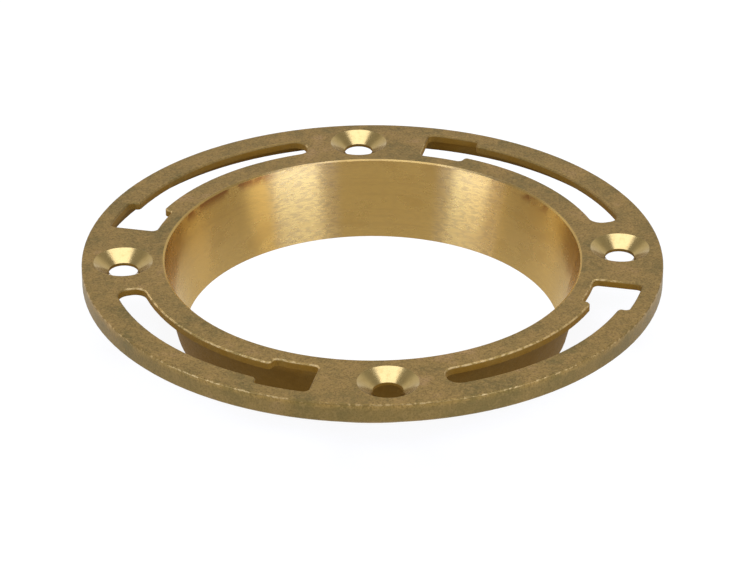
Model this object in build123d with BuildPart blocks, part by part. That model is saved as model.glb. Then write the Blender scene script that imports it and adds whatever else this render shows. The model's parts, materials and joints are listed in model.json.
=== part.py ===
from build123d import *
import math
import os

# Closet flange: a one-piece brass casting that joins a toilet to a soil pipe.
# A flat ring stands on the finished floor, and a tapered hub reaches down from it into the pipe.
# Lengths are in millimetres and angles in degrees, measured anticlockwise from +X seen from above.
# Z is the pipe's axis, and Z = 0 is the seat plane, where the foot of the rim meets the floor.

# Ring
ring_diameter = 177.8
ring_height = 6.35
rim_width = 3.2
rim_top_round = 0.5
rim_foot_chamfer = 0.6

# Web: the thin plate of the ring, over an undercut channel between the rim and the hub
web_thickness = 2.4
channel_chamfer = 1.0

# Hub: a thin tapered collar with a tapered bore, whose foot is sharpened to enter the pipe
casting_depth = 24.8
mouth_diameter = 127.4
throat_diameter = 115.5
hub_wall = 2.3
mouth_chamfer = 0.4
hub_foot_chamfer = 1.7
hub_neck_chamfer = 1.6

# The screw holes and the bolt slots share one circle
bolt_circle_diameter = 152.4

# Countersunk holes for the floor screws, each through a boss that bridges the channel
screw_count = 4
screw_hole_diameter = 9.0
countersink_diameter = 18.1
countersink_angle = 114.0
screw_land = 0.9
boss_wall = 3.4
boss_draft = 4.0

# Keyhole slots for the closet bolts, one after each screw hole.
# A bolt's head drops through the wide end, then slides under the web into the narrow run.
slot_width = 8.8
slot_nose_flat = 1.2
slot_start_angle = 12.9
slot_step_angle = 62.2
slot_end_angle = 73.8
entry_width = 14.9
entry_corner_round = 1.8
entry_step_round = 1.4
slot_edge_chamfer = 0.4

# How far each cut runs past the metal
cut_clearance = 1.0

# Worked out from the sizes above
ring_radius = ring_diameter / 2
channel_outer_radius = ring_radius - rim_width
bolt_circle_radius = bolt_circle_diameter / 2
web_underside = ring_height - web_thickness
countersink_step = (countersink_diameter - screw_hole_diameter) / 2
countersink_depth = countersink_step / math.tan(math.radians(countersink_angle / 2))
boss_radius = countersink_diameter / 2 + boss_wall
boss_drop = countersink_depth + screw_land - web_thickness
hub_foot = ring_height - casting_depth
bore_slope = (mouth_diameter - throat_diameter) / 2 / casting_depth


def bore_radius(height):
    """Radius of the tapered bore at a height."""
    return throat_diameter / 2 + (height - hub_foot) * bore_slope


def hub_radius(height):
    """Radius of the hub's outside at a height: the bore's taper, one wall further out."""
    return bore_radius(height) + hub_wall


def ring_point(radius, angle):
    """A point on the ring, from its radius and its angle."""
    return (radius * math.cos(math.radians(angle)), radius * math.sin(math.radians(angle)))


# Outline of one keyhole slot, as arcs about the pipe's axis joined by radial lines
slot_inner = bolt_circle_radius - slot_width / 2
slot_outer = bolt_circle_radius + slot_width / 2
entry_inner = bolt_circle_radius - entry_width / 2
entry_outer = bolt_circle_radius + entry_width / 2
narrow_run = slot_step_angle - slot_start_angle
entry_run = slot_end_angle - slot_step_angle
slot_nose_round = (slot_width - slot_nose_flat) / 2

with BuildSketch() as keyhole_slot:
    with BuildLine():
        CenterArc((0, 0), slot_inner, slot_start_angle, narrow_run)
        CenterArc((0, 0), slot_outer, slot_start_angle, narrow_run)
        CenterArc((0, 0), entry_inner, slot_step_angle, entry_run)
        CenterArc((0, 0), entry_outer, slot_step_angle, entry_run)
        Line(ring_point(slot_inner, slot_start_angle), ring_point(slot_outer, slot_start_angle))
        Line(ring_point(slot_inner, slot_step_angle), ring_point(entry_inner, slot_step_angle))
        Line(ring_point(slot_outer, slot_step_angle), ring_point(entry_outer, slot_step_angle))
        Line(ring_point(entry_inner, slot_end_angle), ring_point(entry_outer, slot_end_angle))
    make_face()
    for radius, angle, corner_round in (
        (slot_inner, slot_start_angle, slot_nose_round),
        (slot_outer, slot_start_angle, slot_nose_round),
        (slot_inner, slot_step_angle, entry_step_round),
        (slot_outer, slot_step_angle, entry_step_round),
        (entry_inner, slot_step_angle, entry_step_round),
        (entry_outer, slot_step_angle, entry_step_round),
        (entry_inner, slot_end_angle, entry_corner_round),
        (entry_outer, slot_end_angle, entry_corner_round),
    ):
        corner = keyhole_slot.vertices().sort_by_distance(ring_point(radius, angle))[0]
        fillet(corner, corner_round)

with BuildPart() as closet_flange:
    # The casting's section, turned about the pipe's axis: rim, undercut channel, web and hub
    with BuildSketch(Plane.XZ) as section:
        with BuildLine():
            Polyline(
                (bore_radius(ring_height), ring_height),
                (ring_radius, ring_height),
                (ring_radius, 0),
                (channel_outer_radius, 0),
                (channel_outer_radius, web_underside),
                (hub_radius(web_underside), web_underside),
                (hub_radius(hub_foot), hub_foot),
                (bore_radius(hub_foot), hub_foot),
                close=True,
            )
        make_face()
        fillet(section.vertices().sort_by_distance((ring_radius, ring_height))[0], rim_top_round)
        for point, flat_corner in (
            ((bore_radius(ring_height), ring_height), mouth_chamfer),
            ((ring_radius, 0), rim_foot_chamfer),
            ((channel_outer_radius, web_underside), channel_chamfer),
            ((hub_radius(web_underside), web_underside), hub_neck_chamfer),
            ((hub_radius(hub_foot), hub_foot), hub_foot_chamfer),
        ):
            chamfer(section.vertices().sort_by_distance(point)[0], flat_corner)
    revolve(axis=Axis.Z)

    # Bosses under the web, which join the hub to the rim and give the screws a thicker land.
    # Their ends are buried in the middle of both walls.
    with BuildSketch(Plane.XY.offset(web_underside)):
        with PolarLocations(bolt_circle_radius, screw_count):
            Circle(boss_radius)
        Circle(ring_radius - rim_width / 2, mode=Mode.INTERSECT)
        Circle(hub_radius(web_underside) - hub_wall / 2, mode=Mode.SUBTRACT)
    extrude(amount=-boss_drop, taper=boss_draft)

    # Keyhole slots, cut down through the web into the channel
    with BuildSketch(Plane.XY.offset(ring_height + cut_clearance)):
        with PolarLocations(0, screw_count):
            add(keyhole_slot.sketch)
    extrude(amount=-web_thickness - 2 * cut_clearance, mode=Mode.SUBTRACT)
    top_edges = closet_flange.edges().group_by(Axis.Z)[-1]
    chamfer(top_edges.filter_by(lambda edge: not edge.is_closed), slot_edge_chamfer)

    # Countersunk screw holes, bored down through the bosses
    with Locations(Plane.XY.offset(ring_height)):
        with PolarLocations(bolt_circle_radius, screw_count):
            CounterSinkHole(
                screw_hole_diameter / 2,
                countersink_diameter / 2,
                depth=ring_height + cut_clearance,
                counter_sink_angle=countersink_angle,
            )

closet_flange.part.label = "closet_flange"
os.makedirs("parts", exist_ok=True)
export_step(closet_flange.part, "parts/closet_flange.step")
print("closet flange volume", round(closet_flange.part.volume), "mm3")
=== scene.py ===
# %% [markdown]
# # A brass closet flange
# This lesson dresses one cast and turned brass fitting and photographs it on a white table. The
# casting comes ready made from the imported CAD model, and nothing here moves or resizes it. It could
# be modelled again in Blender, but then its holes would no longer be where a plumber needs them. So
# the first cell loads that model and notes the size of its box before anything is added.

import json
import math

import bmesh
import bpy
from mathutils import Euler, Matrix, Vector


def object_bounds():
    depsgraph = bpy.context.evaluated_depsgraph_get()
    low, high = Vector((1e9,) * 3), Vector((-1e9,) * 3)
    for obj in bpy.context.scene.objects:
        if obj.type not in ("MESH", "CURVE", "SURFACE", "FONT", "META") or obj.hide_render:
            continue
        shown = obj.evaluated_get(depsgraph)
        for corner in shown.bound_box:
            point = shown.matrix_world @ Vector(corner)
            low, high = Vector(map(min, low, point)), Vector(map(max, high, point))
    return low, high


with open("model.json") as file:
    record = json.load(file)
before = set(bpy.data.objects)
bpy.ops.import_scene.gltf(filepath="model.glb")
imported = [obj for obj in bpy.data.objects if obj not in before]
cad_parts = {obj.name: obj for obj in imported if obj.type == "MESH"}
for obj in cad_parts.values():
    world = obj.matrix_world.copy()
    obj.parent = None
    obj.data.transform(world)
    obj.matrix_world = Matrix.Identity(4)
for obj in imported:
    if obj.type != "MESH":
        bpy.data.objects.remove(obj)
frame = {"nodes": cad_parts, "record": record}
cad_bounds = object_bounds()
casting = frame["nodes"]["closet_flange"]
print("casting", len(casting.data.polygons), "triangles, box", cad_bounds)

# %% [markdown]
# A finish has to know where each surface lies: which part is bored, which is countersunk and which
# is left as it came out of the sand. These sizes decide it. Those that the model's box and its
# mounts hold are read from there, so that they can't drift from the model, and the rest are written
# out in millimetres.

# %% Sizes of the casting
MM = 0.001
hub_foot_z, ring_top_z = cad_bounds[0][2], cad_bounds[1][2]
ring_radius = cad_bounds[1][0]
mounts = {mount["name"]: mount["dims"] for mount in frame["record"]["mounts"]}
screw_circle_radius = mounts["floor_screws"]["pcd_mm"] / 2 * MM
screw_hole_radius = mounts["floor_screws"]["hole_r_mm"] * MM
countersink_radius = 9.05 * MM
countersink_floor_z = 3.4 * MM
throat_radius = 57.75 * MM
mouth_radius = 63.7 * MM
edge_chamfer = 0.4 * MM
bore_slope = (mouth_radius - throat_radius) / (ring_top_z - hub_foot_z)
print("top", ring_top_z, "foot", hub_foot_z, "radius", ring_radius, "screw circle", screw_circle_radius)

# %% [markdown]
# The camera comes before the finishes, because every finish is judged through it. It could be placed
# by eye, but fitting circles to the ring and the holes in the photograph gives it within a pixel or
# two: a long lens about a metre away, looking down at a little under thirty degrees. The ring in the
# photograph is turned by a few degrees, and here the camera swings round it instead.

# %% Camera
photo_width = 750
focal_pixels = 3500
sensor_width = 36.0
camera_distance = 1.0569
camera_elevation = math.radians(29.13)
camera_swing = math.radians(-3.42)
aim = Vector((0.00078, -0.0170, ring_top_z))

camera_data = bpy.data.cameras.new("camera")
camera_data.sensor_width = sensor_width
camera_data.lens = focal_pixels / photo_width * sensor_width
camera = bpy.data.objects.new("camera", camera_data)
bpy.context.scene.collection.objects.link(camera)
swing = Euler((0, 0, camera_swing)).to_matrix()
back = Vector((0, -math.cos(camera_elevation), math.sin(camera_elevation)))
camera.location = swing @ (aim + camera_distance * back)
camera.rotation_euler = (math.pi / 2 - camera_elevation, 0, camera_swing)
bpy.context.scene.camera = camera
print("camera at", tuple(round(v, 3) for v in camera.location), "lens", camera_data.lens)

# %% [markdown]
# A finish is a sum of many small patterns, and drawn as boxes and wires it soon can't be read. Here
# one small class wraps a socket of a node and lends it the signs of arithmetic, so that a mask can be
# written as `1 - ceiling` and Blender still gets its Math nodes. Every other node comes from `node`.

# %% Shader maths
class Shade:
    """A node's output socket. Sums of shades, or of shades and numbers, add Math nodes."""

    def __init__(self, tree, socket=None):
        self.tree = tree
        self.socket = socket

    def node(self, kind, sockets=(), output=0, stops=(), **settings):
        """Adds a node: its settings and its ramp's stops, then its sockets' values or links."""
        made = self.tree.nodes.new(kind)
        for name, value in settings.items():
            setattr(made, name, value)
        for count, (position, colour) in enumerate(stops):
            ramp = made.color_ramp.elements
            stop = ramp[count] if count < 2 else ramp.new(position)
            stop.position = position
            stop.color = colour
        for name, value in dict(sockets).items():
            if isinstance(value, Shade):
                self.tree.links.new(value.socket, made.inputs[name])
            else:
                made.inputs[name].default_value = value
        if isinstance(output, tuple):
            return [Shade(self.tree, made.outputs[name]) for name in output]
        return Shade(self.tree, made.outputs[output] if len(made.outputs) else None)

    def math(self, operation, first, second=0.0):
        return self.node("ShaderNodeMath", {0: first, 1: second}, operation=operation)

    def __add__(self, other):
        return self.math("ADD", self, other)

    def __radd__(self, other):
        return self.math("ADD", other, self)

    def __sub__(self, other):
        return self.math("SUBTRACT", self, other)

    def __rsub__(self, other):
        return self.math("SUBTRACT", other, self)

    def __mul__(self, other):
        return self.math("MULTIPLY", self, other)

    def __rmul__(self, other):
        return self.math("MULTIPLY", other, self)

    def __pow__(self, other):
        return self.math("POWER", self, other)

    def __abs__(self):
        return self.math("ABSOLUTE", self)

    def least(self, other):
        return self.math("MINIMUM", self, other)

    def most(self, other):
        return self.math("MAXIMUM", self, other)

    def rise(self, start, end):
        """0 at start and 1 at end, with a smooth rise between. start may be the higher."""
        sockets = {"Value": self, "From Min": start, "From Max": end}
        return self.node("ShaderNodeMapRange", sockets, interpolation_type="SMOOTHSTEP")

    def paint(self, under, over):
        """The colour under, painted over with another as far as this mask says."""
        return self.node("ShaderNodeMix", {0: self, 6: under, 7: over}, output=2, data_type="RGBA")


def new_material(name):
    """A material with an empty node tree, and the shade that its patterns start from."""
    material = bpy.data.materials.new(name)
    material.use_nodes = True
    material.node_tree.nodes.clear()
    return material, Shade(material.node_tree)


def rgb(red, green, blue):
    """A colour as a screen shows it, from 0 to 255, as the linear colour that a shader takes."""
    screen = (red / 255, green / 255, blue / 255)
    return (*(((v + 0.055) / 1.055) ** 2.4 if v > 0.04 else v / 12.92 for v in screen), 1.0)


print("a mid brass is", tuple(round(v, 3) for v in rgb(141, 117, 70)))

# %% [markdown]
# The casting is one piece of one metal, yet some of it is dull and some of it bright. Most of it is
# the skin that sand leaves: grainy and olive brown. The bore and the screw countersinks were cut on a
# machine and shine. They could be two materials on two sets of faces, but nothing on the real part
# divides them except how deep the cutter went, so they share one material and a mask says where it
# went. The masks follow the casting's own coordinates, so they stay on it from every side.

# %% Where the cutter went
bore_border = 0.15 * MM
sink_border = 0.1 * MM

brass, shade = new_material("cast_and_turned_brass")
place = shade.node("ShaderNodeTexCoord", output="Object")
x, y, z = shade.node("ShaderNodeSeparateXYZ", {0: place}, output=("X", "Y", "Z"))
radius = (x * x + y * y) ** 0.5
depth = ring_top_z - z
off_the_bore = radius - (mouth_radius - depth * bore_slope)
bored = off_the_bore.rise(edge_chamfer + bore_border, edge_chamfer)

outward = abs(x).most(abs(y)) - screw_circle_radius
sideways = abs(x).least(abs(y))
from_screw = (outward * outward + sideways * sideways) ** 0.5
round_the_hole = from_screw.rise(countersink_radius + sink_border, countersink_radius - sink_border)
above_the_land = z.rise(countersink_floor_z - sink_border, countersink_floor_z + sink_border)
sunk = round_the_hole * above_the_land
print("masks for the bore and the countersinks")

# %% [markdown]
# Two more places look different on a casting that has been handled. Its sharp edges are rubbed
# paler, with a painted highlight along them too, and the walls of the slots and the channel under the
# web are darkened by brown dirt and by painted shade. Blender can find edges with Pointiness, but this
# mesh is loose triangles, which defeats it. The heights and radii of those faces are known, so plain
# sums find them exactly.

# %% Rubbed and highlit edges, dirty and shaded walls
below_top = depth.rise(0.02 * MM, 0.10 * MM)
above_the_wall = depth.rise(edge_chamfer + 0.2 * MM, edge_chamfer)
edge = below_top * above_the_wall * off_the_bore.rise(1.0 * MM, 1.5 * MM)
behind_bore = off_the_bore.rise(1.0 * MM, 1.8 * MM)
inside_rim = radius.rise(ring_radius - 0.6 * MM, ring_radius - 1.0 * MM)
# Dirt and painted shade both darken these hidden walls.
hidden = depth.rise(0.35 * MM, 0.8 * MM) * behind_bore * inside_rim
print("masks for edges and hidden walls")

# %% [markdown]
# Nearly every pattern below is noise. Two helpers keep that short: one gives noise at a number of
# features a metre, and one stretches the casting's own coordinates, which turns spots into streaks.

# %% Noise
def noise(vector, scale, detail=2.0, roughness=0.5, distortion=0.0):
    """Noise from 0 to 1, mostly near a half."""
    sockets = {"Vector": vector, "Scale": scale, "Detail": detail}
    sockets |= {"Roughness": roughness, "Distortion": distortion}
    return shade.node("ShaderNodeTexNoise", sockets)


def stretched(along_x, along_y, along_z):
    """The casting's coordinates, scaled along each axis."""
    return shade.node("ShaderNodeMapping", {"Vector": place, "Scale": (along_x, along_y, along_z)})


blotches = noise(place, 90, detail=4.0, roughness=0.6)
flecks = noise(place, 620, detail=3.0, roughness=0.6)
grain = noise(place, 1800, detail=4.0, roughness=0.65)
print("three sizes of noise")

# %% [markdown]
# The cast skin is what the sand mould printed: an even grain of about half a millimetre, over which
# the brass has tarnished in blotches from dark olive to light brown. The blotches could be painted on
# an image, but noise has no seams and no pixels. A colour ramp turns the largest noise into them,
# because the colours then follow one another in a fixed order, as they do on tarnish.

# %% Tarnish and grain
tarnish = (
    (0.34, rgb(126, 106, 54)),
    (0.46, rgb(146, 119, 62)),
    (0.58, rgb(158, 127, 67)),
    (0.68, rgb(170, 136, 84)),
)
pale_fleck = rgb(180, 146, 86)
dark_grain = rgb(92, 71, 31)

skin = shade.node("ShaderNodeValToRGB", {0: blotches}, stops=tarnish)
skin = (flecks.rise(0.48, 0.60) * 0.35).paint(skin, pale_fleck)
skin = (grain.rise(0.54, 0.38) * 0.5).paint(skin, dark_grain)
print("cast skin of", len(tarnish), "tarnish colours")

# %% [markdown]
# Hands, screws and dirt come after the foundry. The slots' inner edges and the crest of the rim are
# rubbed down to pale metal here and there, with a painted highlight on them. Painted shade darkens the
# outer edges and the rim's side against the top. Dirt and painted shade darken every wall, and painted
# shade darkens them most deep down and inside the screw holes. These could be brushed on by hand, but
# masks of heights and radii put each of them exactly where it belongs.

# %% Wear, dirt, painted highlight and painted shade
# The first, third and fifth of these colours are painted shade, the second is wear with a painted
# highlight, and the fourth is dirt with painted shade.
edge_painted_shade = rgb(104, 82, 44)
rubbed_brass_and_highlight = rgb(214, 184, 128)
side_painted_shade = rgb(110, 93, 54)
wall_dirt_and_shade = rgb(140, 102, 28)
deep_painted_shade = rgb(98, 68, 14)

outer_edge = edge * radius.rise(screw_circle_radius, screw_circle_radius + 2.0 * MM)
crest = outer_edge * radius.rise(ring_radius - 1.0 * MM, ring_radius - 0.6 * MM)
# Worn pale metal with a painted highlight, along the slots' inner edges and the rim's crest.
rubbed_and_highlit = (edge - outer_edge) * flecks.rise(0.40, 0.55) + crest * flecks.rise(0.50, 0.60) * 0.6
side = radius.rise(ring_radius - 0.30 * MM, ring_radius - 0.05 * MM) * depth.rise(0.2 * MM, 2.5 * MM)
inside_screw_hole = from_screw.rise(screw_hole_radius + 0.4 * MM, screw_hole_radius)
# Painted shade, strongest deep in the hidden walls and inside the screw holes.
deep = (depth.rise(4.0 * MM, 8.0 * MM) * hidden).most(inside_screw_hole * 0.3)

# Painted shade darkens the outer edges and the rim's crest against the top.
skin = (outer_edge * 0.45).paint(skin, edge_painted_shade)
skin = (rubbed_and_highlit * 0.5).paint(skin, rubbed_brass_and_highlight)
# Painted shade darkens the rim's side against the top.
skin = (side * 0.55).paint(skin, side_painted_shade)
# The walls get dirt together with painted shade.
skin = (hidden * (0.65 + 0.3 * blotches.rise(0.40, 0.60))).paint(skin, wall_dirt_and_shade)
# Painted shade deep down and inside the screw holes.
skin = (deep * 0.6).paint(skin, deep_painted_shade)
# Of these five coats, three are painted shade, one is wear with a painted highlight and one is dirt with
# painted shade.
print("five coats of wear and dirt")

# %% [markdown]
# The same noises that colour the skin also shape it, so that a pale fleck is a bump and not a print.
# They go into a Bump node, which bends the light without adding a face. Rubbed metal is smoother than
# the skin round it, and dirt is rougher. The metal is a little short of full, as tarnish is no metal.

# %% Cast brass
grain_depth = 0.3 * MM

cast_height = grain * 0.4 + flecks * 0.6 + blotches
cast_bump = shade.node("ShaderNodeBump", {"Strength": 0.5, "Distance": grain_depth, "Height": cast_height})
cast_sockets = {
    "Base Color": skin,
    "Metallic": 0.85,
    "Roughness": 0.42 + flecks * 0.22 - rubbed_and_highlit * 0.15 + hidden * 0.25,
    "Normal": cast_bump,
}
cast_metal = shade.node("ShaderNodeBsdfPrincipled", cast_sockets)
print("cast brass with a grain", grain_depth, "m deep")

# %% [markdown]
# The tapered bore was turned on a lathe, and it isn't even. The tool chattered on two stretches of
# the wall and left fine ripples there, its coarser rings show faintly all round, and brown stains
# creep down from the lip. Ripples and stains could be cut into the mesh, but they are finer than its
# triangles. They are noise too, flattened along the pipe, and `patch` keeps each on its stretch.

# %% Marks in the bore
def patch(centre, half_width):
    """1 on a stretch of the bore's wall, by its angle in degrees from +X, and 0 past its soft ends."""
    off_centre = abs(shade.math("ARCTAN2", y, x) - math.radians(centre))
    return off_centre.rise(math.radians(half_width), math.radians(half_width * 0.7))


bright_bore = (0.445, 0.288, 0.078, 1.0)
cloudy_bore = (0.35, 0.205, 0.045, 1.0)
ring_brown = (0.36, 0.22, 0.06, 1.0)
ripple_brown = (0.30, 0.19, 0.06, 1.0)
lip_brown = rgb(122, 76, 28)

ring_marks = noise(stretched(12, 12, 1300), 1.0)
ripples = noise(stretched(420, 420, 1500), 1.0, distortion=0.3)
clouds = noise(stretched(70, 70, 130), 1.0, detail=4.0, roughness=0.6)
chattered = 0.25 + 0.75 * patch(108, 13).most(patch(56, 13))
under_lip = depth.rise(4.0 * MM, 0.5 * MM) * depth.rise(0.3 * MM, 0.6 * MM)
lip_stain = under_lip * blotches.rise(0.42, 0.54) * (0.15 + patch(140, 26).most(patch(34, 16)))

bore_colour = (clouds.rise(0.48, 0.68) * 0.45).paint(bright_bore, cloudy_bore)
bore_colour = (ring_marks.rise(0.50, 0.68) * 0.25).paint(bore_colour, ring_brown)
bore_colour = (ripples.rise(0.48, 0.58) * chattered * 0.55).paint(bore_colour, ripple_brown)
bore_colour = (lip_stain * 0.8).paint(bore_colour, lip_brown)
print("marks in a bore of slope", round(bore_slope, 3))

# %% [markdown]
# The finest rings of a lathe don't show one by one: they stretch every reflection up and down the
# wall, which is why the bore shows soft upright bands. Modelled as grooves, thousands of them would
# only blur the render. The shader has a setting for just that, Anisotropic, turned by a quarter so
# that the stretch runs along the pipe. Over it lies a thin clear coat, strongest where the tool
# chattered, which makes the bands there paler than brass alone would. Specular Tint keeps the wall
# golden where it is seen at a slant, because metal turns white there without it.

# %% Turned bore
ripple_depth = 0.04 * MM

bore_height = ripples * chattered
bore_bump = shade.node("ShaderNodeBump", {"Strength": 0.6, "Distance": ripple_depth, "Height": bore_height})
bore_sockets = {
    "Base Color": bore_colour,
    "Metallic": 1.0,
    "Roughness": 0.23 + clouds * 0.08,
    "Anisotropic": 0.95,
    "Anisotropic Rotation": 0.25,
    "Specular Tint": (1.0, 0.87, 0.6, 1.0),
    "Coat Weight": 0.2 + 0.75 * chattered,
    "Coat Roughness": 0.3,
    "Coat IOR": 1.6,
    "Normal": bore_bump,
}
bore_metal = shade.node("ShaderNodeBsdfPrincipled", bore_sockets)
print("turned bore with ripples", ripple_depth, "m deep")

# %% [markdown]
# The countersinks were cut by a drill press in one pass and are the smoothest brass here. They stay
# apart from the bore's finish, because their rings run round each screw hole and not round the pipe.
# One-dimensional noise of the distance from the hole draws rings that are round by their nature.

# %% Countersinks
rings_per_metre = 13000
ring_depth = 0.04 * MM
bright_cone = (0.43, 0.31, 0.12, 1.0)
cloudy_cone = (0.35, 0.235, 0.08, 1.0)

ring_sockets = {"W": from_screw, "Scale": rings_per_metre, "Detail": 2.0}
cone_rings = shade.node("ShaderNodeTexNoise", ring_sockets, noise_dimensions="1D")
cone_height = cone_rings * 0.6 + grain * 0.4
cone_bump = shade.node("ShaderNodeBump", {"Strength": 0.2, "Distance": ring_depth, "Height": cone_height})
cone_sockets = {
    "Base Color": (flecks.rise(0.45, 0.70) * 0.4).paint(bright_cone, cloudy_cone),
    "Metallic": 1.0,
    "Roughness": 0.16 + flecks * 0.08,
    "Normal": cone_bump,
}
cone_metal = shade.node("ShaderNodeBsdfPrincipled", cone_sockets)
print("countersinks of radius", countersink_radius)

# %% [markdown]
# Three metals now wait to be laid on one casting. Their colours alone could be mixed before a single
# shader, but then the bore's stretched reflections would spread over the skin as well. So two Mix
# Shader nodes lay the bright cuts over the skin, in the order in which the shop made them.

# %% Join the finishes
with_bore = shade.node("ShaderNodeMixShader", {0: bored, 1: cast_metal, 2: bore_metal})
with_countersinks = shade.node("ShaderNodeMixShader", {0: sunk, 1: with_bore, 2: cone_metal})
shade.node("ShaderNodeOutputMaterial", {"Surface": with_countersinks})
casting.data.materials.clear()
casting.data.materials.append(brass)
print("nodes in the brass", len(brass.node_tree.nodes))

# %% [markdown]
# The photograph is cut out on pure white. A white table could be reached by more light, but that
# would wash the brass out. So the table is a grey diffuse sheet, which takes the casting's shadow,
# plus a glow that only the camera and the reflections see. It lies under the hub's foot, where the
# casting would stand, and it can't be seen from below.

# %% Table
white = (1.0, 1.0, 1.0, 1.0)
paper_grey = (0.16, 0.16, 0.16, 1.0)
paper_glow = 0.9
table_half_side = 3.0


def seen_directly(share_for_gloss=1.0):
    """1 for what the camera or a glass sees, a share for what a gloss mirrors, and 0 for light."""
    rays = ("Is Camera Ray", "Is Glossy Ray", "Is Transmission Ray")
    camera_ray, glossy_ray, glass_ray = shade.node("ShaderNodeLightPath", output=rays)
    return camera_ray.most(glass_ray).most(glossy_ray * share_for_gloss)


table_material, shade = new_material("white_table")
paper = shade.node("ShaderNodeBsdfDiffuse", {"Color": paper_grey})
glow = shade.node("ShaderNodeEmission", {"Color": white, "Strength": seen_directly() * paper_glow})
lit_paper = shade.node("ShaderNodeAddShader", {0: paper, 1: glow})
from_below = shade.node("ShaderNodeNewGeometry", output="Backfacing")
clear = shade.node("ShaderNodeBsdfTransparent")
table_shader = shade.node("ShaderNodeMixShader", {0: from_below, 1: lit_paper, 2: clear})
shade.node("ShaderNodeOutputMaterial", {"Surface": table_shader})

table_mesh = bpy.data.meshes.new("table")
form = bmesh.new()
bmesh.ops.create_grid(form, x_segments=1, y_segments=1, size=table_half_side)
bmesh.ops.translate(form, verts=form.verts, vec=(0, 0, hub_foot_z))
form.to_mesh(table_mesh)
form.free()
table_mesh.materials.append(table_material)
table = bpy.data.objects.new("table", table_mesh)
bpy.context.scene.collection.objects.link(table)
print("table at", hub_foot_z)

# %% [markdown]
# The room is the same white that the table is for the camera, and half as strong as a source of
# light, so that a colour renders about as it is written. Reflections see its walls white but its
# ceiling no brighter than its light. A ceiling as white as the walls would be simpler, but a
# countersink mirrors the ceiling on both sides of its bright far wall, and those sectors are dark.

# %% Room
room_light = 0.5

world = bpy.data.worlds.new("studio")
world.use_nodes = True
world.node_tree.nodes.clear()
shade = Shade(world.node_tree)
direction = shade.node("ShaderNodeTexCoord", output="Generated")
upward = shade.node("ShaderNodeSeparateXYZ", {0: direction}, output="Z")
ceiling = upward.rise(0.45, 0.75)
strength = room_light + (1 - room_light) * seen_directly(1 - ceiling)
background = shade.node("ShaderNodeBackground", {"Color": white, "Strength": strength})
shade.node("ShaderNodeOutputWorld", {"Surface": background})
bpy.context.scene.world = world
print("room", world.name)

# %% [markdown]
# Five softboxes shape the metal, as in a product studio. The one overhead is what each countersink
# mirrors on its far wall. The others stand at the sides and reach almost down to the table, because
# the bore mirrors them from there: the two bright strips as its cream bands, and the two weaker ones
# as the golden stretches past them. Brass turns white light orange, so the bright strips are a little
# blue to come out cream. Each is placed by the direction in which the casting sees it, which is
# easier to reason about than its coordinates.

# %% Softboxes
def softbox(name, towards, distance, size, brightness, tint):
    """A rectangular lamp aimed at the casting, towards an azimuth and an elevation in degrees.
    Azimuth 0 is the camera's side, and it grows to the camera's right."""
    azimuth, elevation = (math.radians(angle) for angle in towards)
    width, height = size
    lamp = bpy.data.lights.new(name, "AREA")
    lamp.shape = "RECTANGLE"
    lamp.size = width
    lamp.size_y = height
    lamp.energy = brightness * math.pi * width * height
    lamp.color = tint
    holder = bpy.data.objects.new(name, lamp)
    turn = Euler((0, 0, azimuth + camera_swing)).to_matrix()
    away = turn @ Vector((0, -math.cos(elevation), math.sin(elevation)))
    holder.location = distance * away
    holder.rotation_euler = away.to_track_quat("Z", "Y").to_euler()
    bpy.context.scene.collection.objects.link(holder)
    print(name, "at", tuple(round(v, 2) for v in holder.location))


sky_blue = (0.80, 1.0, 1.6)
cool_white = (0.92, 1.0, 1.3)
plain_white = (1.0, 1.0, 1.0)
softbox("overhead", (0, 88), distance=1.0, size=(0.9, 0.5), brightness=2.7, tint=cool_white)
softbox("right_strip", (44, 20), distance=1.2, size=(0.58, 0.8), brightness=5.0, tint=sky_blue)
softbox("right_gold_strip", (68, 20), distance=1.2, size=(0.32, 0.8), brightness=1.9, tint=plain_white)
softbox("left_strip", (-57, 20), distance=1.2, size=(0.48, 0.8), brightness=4.8, tint=sky_blue)
softbox("left_gold_strip", (-120, 10), distance=1.2, size=(0.4, 0.35), brightness=2.2, tint=plain_white)

# %% Finish
bpy.context.scene.view_settings.view_transform = "Standard"
